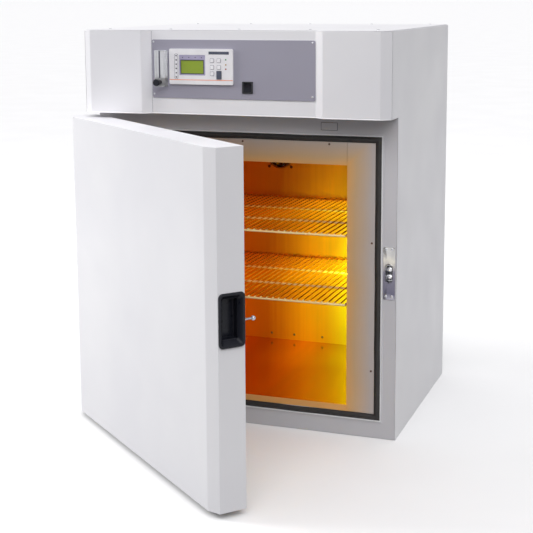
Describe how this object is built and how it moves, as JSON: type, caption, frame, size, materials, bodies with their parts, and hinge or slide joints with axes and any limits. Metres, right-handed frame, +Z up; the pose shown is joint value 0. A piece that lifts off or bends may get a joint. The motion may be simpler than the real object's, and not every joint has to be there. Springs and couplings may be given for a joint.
{
  "type": "laboratory incubator",
  "caption": "Laboratory incubator with an insulated left-hinged door standing ajar, a projecting control console, a stainless chamber with wire shelves and a roller catch.",
  "frame": {"origin": "on the floor under the middle of the cabinet's footprint, leaving out the console's overhang and the door", "axes": "+Z up, +X to the right, and the door side faces -Y"},
  "size_m": [0.9197, 1.2835, 1.109],
  "materials": {
    "white_paint": "semi-gloss powder coat",
    "stainless_liner": "brushed stainless sheet",
    "bright_wire": "bright electropolished wire",
    "chrome": "polished plating",
    "zinc_steel": "zinc plated",
    "black_rubber": "matt silicone",
    "black_plastic": "moulded, slightly glossy",
    "mineral_wool": "matt fibre",
    "panel_grey": "satin grey",
    "white_plastic": "satin",
    "slate_plastic": "satin",
    "housing_plastic": "matt",
    "lcd_green": "glossy",
    "clear_plastic": "clear acrylic",
    "float_steel": "polished ball",
    "lamp_glass": "frosted",
    "brass": "turned"
  },
  "bodies": {
    "cabinet": {"left_side_panel": "white_paint", "right_side_panel": "white_paint", "top_cover": "white_paint", "console_front": "white_paint", "console_floor": "white_paint", "base_pan": "white_paint", "rear_cover": "white_paint", "front_frame": "white_paint", "door_gasket": "black_rubber", "breaker_strips": "stainless_liner", "cabinet_insulation": "mineral_wool", "liner_left": "stainless_liner", "liner_right": "stainless_liner", "liner_top": "stainless_liner", "liner_floor": "stainless_liner", "liner_back": "stainless_liner", "shelf_runners": "stainless_liner", "cabinet_screws": "zinc_steel", "door_switch_cover": "zinc_steel", "floor_heater": "stainless_liner", "temperature_probe": "stainless_liner", "interior_lamp": "lamp_glass", "fan_housing": "black_plastic", "fan_guard": "bright_wire", "control_panel": "panel_grey", "controller_bezel": "white_plastic", "controller_housing": "housing_plastic", "lcd_display": "lcd_green", "power_switch_bezel": "black_plastic", "flowmeter_body": "clear_plastic", "mains_inlet": "black_plastic", "gas_line": "brass", "keeper": "chrome", "cabinet_hinge_leaves": "zinc_steel", "hinge_pins": "zinc_steel", "upper_roller_spring": "zinc_steel", "lower_roller_spring": "zinc_steel"},
    "door": {"door_outer_shell": "white_paint", "door_inner_panel": "stainless_liner", "door_insulation": "mineral_wool", "door_handle": "black_plastic", "ball_stud": "chrome", "door_hinge_leaves": "zinc_steel", "door_screws": "zinc_steel"},
    "upper_shelf": {"upper_shelf": "bright_wire"},
    "lower_shelf": {"lower_shelf": "bright_wire"},
    "upper_carriage": {"upper_roller_carriage": "chrome"},
    "lower_carriage": {"lower_roller_carriage": "chrome"},
    "upper_roller": {"upper_roller": "chrome"},
    "lower_roller": {"lower_roller": "chrome"},
    "impeller": {"fan_impeller": "black_plastic"},
    "valve_knob": {"flowmeter_knob": "black_plastic"},
    "float": {"flowmeter_float": "float_steel"},
    "rocker": {"power_rocker": "black_plastic"},
    "key_1": {"key_1": "white_plastic"},
    "key_2": {"key_2": "white_plastic"},
    "key_3": {"key_3": "white_plastic"},
    "key_4": {"key_4": "white_plastic"},
    "key_5": {"key_5": "white_plastic"},
    "key_6": {"key_6": "slate_plastic"}
  },
  "joints": [
    {"name": "door_swing", "type": "hinge", "parent": "cabinet", "child": "door", "pos_m": [-0.443, -0.3175, 0.44], "axis": [0, 0, -1], "range_deg": [-40.5, 139.5]},
    {"name": "upper_shelf_slide", "type": "slide", "parent": "cabinet", "child": "upper_shelf", "axis": [0, -1, 0], "range_m": [0, 0.13]},
    {"name": "lower_shelf_slide", "type": "slide", "parent": "cabinet", "child": "lower_shelf", "axis": [0, -1, 0], "range_m": [0, 0.13]},
    {"name": "upper_carriage_slide", "type": "slide", "parent": "cabinet", "child": "upper_carriage", "axis": [0, 0, 1], "range_m": [0, 0.004], "stiffness_N_per_m": 2000, "springref_m": -0.003, "deforming": ["upper_roller_spring"]},
    {"name": "lower_carriage_slide", "type": "slide", "parent": "cabinet", "child": "lower_carriage", "axis": [0, 0, -1], "range_m": [0, 0.004], "stiffness_N_per_m": 2000, "springref_m": -0.003, "deforming": ["lower_roller_spring"]},
    {"name": "upper_roller_spin", "type": "hinge", "parent": "upper_carriage", "child": "upper_roller", "pos_m": [0.414, -0.305, 0.4735], "axis": [1, 0, 0], "continuous": true},
    {"name": "lower_roller_spin", "type": "hinge", "parent": "lower_carriage", "child": "lower_roller", "pos_m": [0.414, -0.305, 0.4525], "axis": [1, 0, 0], "continuous": true},
    {"name": "fan_spin", "type": "hinge", "parent": "cabinet", "child": "impeller", "pos_m": [-0.092, 0.274, 0.69], "axis": [0, 1, 0], "continuous": true},
    {"name": "valve_turn", "type": "hinge", "parent": "cabinet", "child": "valve_knob", "pos_m": [-0.1995, -0.42, 0.968], "axis": [0, -1, 0], "range_deg": [-360, 1080]},
    {"name": "float_rise", "type": "slide", "parent": "cabinet", "child": "float", "axis": [0, 0, 1], "range_m": [0, 0.057]},
    {"name": "power_switch", "type": "hinge", "parent": "cabinet", "child": "rocker", "pos_m": [0.045, -0.3905, 0.956], "axis": [1, 0, 0], "range_deg": [-16, 0]},
    {"name": "press_key_upper_left", "type": "slide", "parent": "cabinet", "child": "key_1", "axis": [0, 1, 0], "range_m": [0, 0.001], "stiffness_N_per_m": 800, "springref_m": -0.0005},
    {"name": "press_key_middle_left", "type": "slide", "parent": "cabinet", "child": "key_2", "axis": [0, 1, 0], "range_m": [0, 0.001], "stiffness_N_per_m": 800, "springref_m": -0.0005},
    {"name": "press_key_lower_left", "type": "slide", "parent": "cabinet", "child": "key_3", "axis": [0, 1, 0], "range_m": [0, 0.001], "stiffness_N_per_m": 800, "springref_m": -0.0005},
    {"name": "press_key_upper_right", "type": "slide", "parent": "cabinet", "child": "key_4", "axis": [0, 1, 0], "range_m": [0, 0.001], "stiffness_N_per_m": 800, "springref_m": -0.0005},
    {"name": "press_key_middle_right", "type": "slide", "parent": "cabinet", "child": "key_5", "axis": [0, 1, 0], "range_m": [0, 0.001], "stiffness_N_per_m": 800, "springref_m": -0.0005},
    {"name": "press_key_tall", "type": "slide", "parent": "cabinet", "child": "key_6", "axis": [0, 1, 0], "range_m": [0, 0.001], "stiffness_N_per_m": 800, "springref_m": -0.0005}
  ]
}
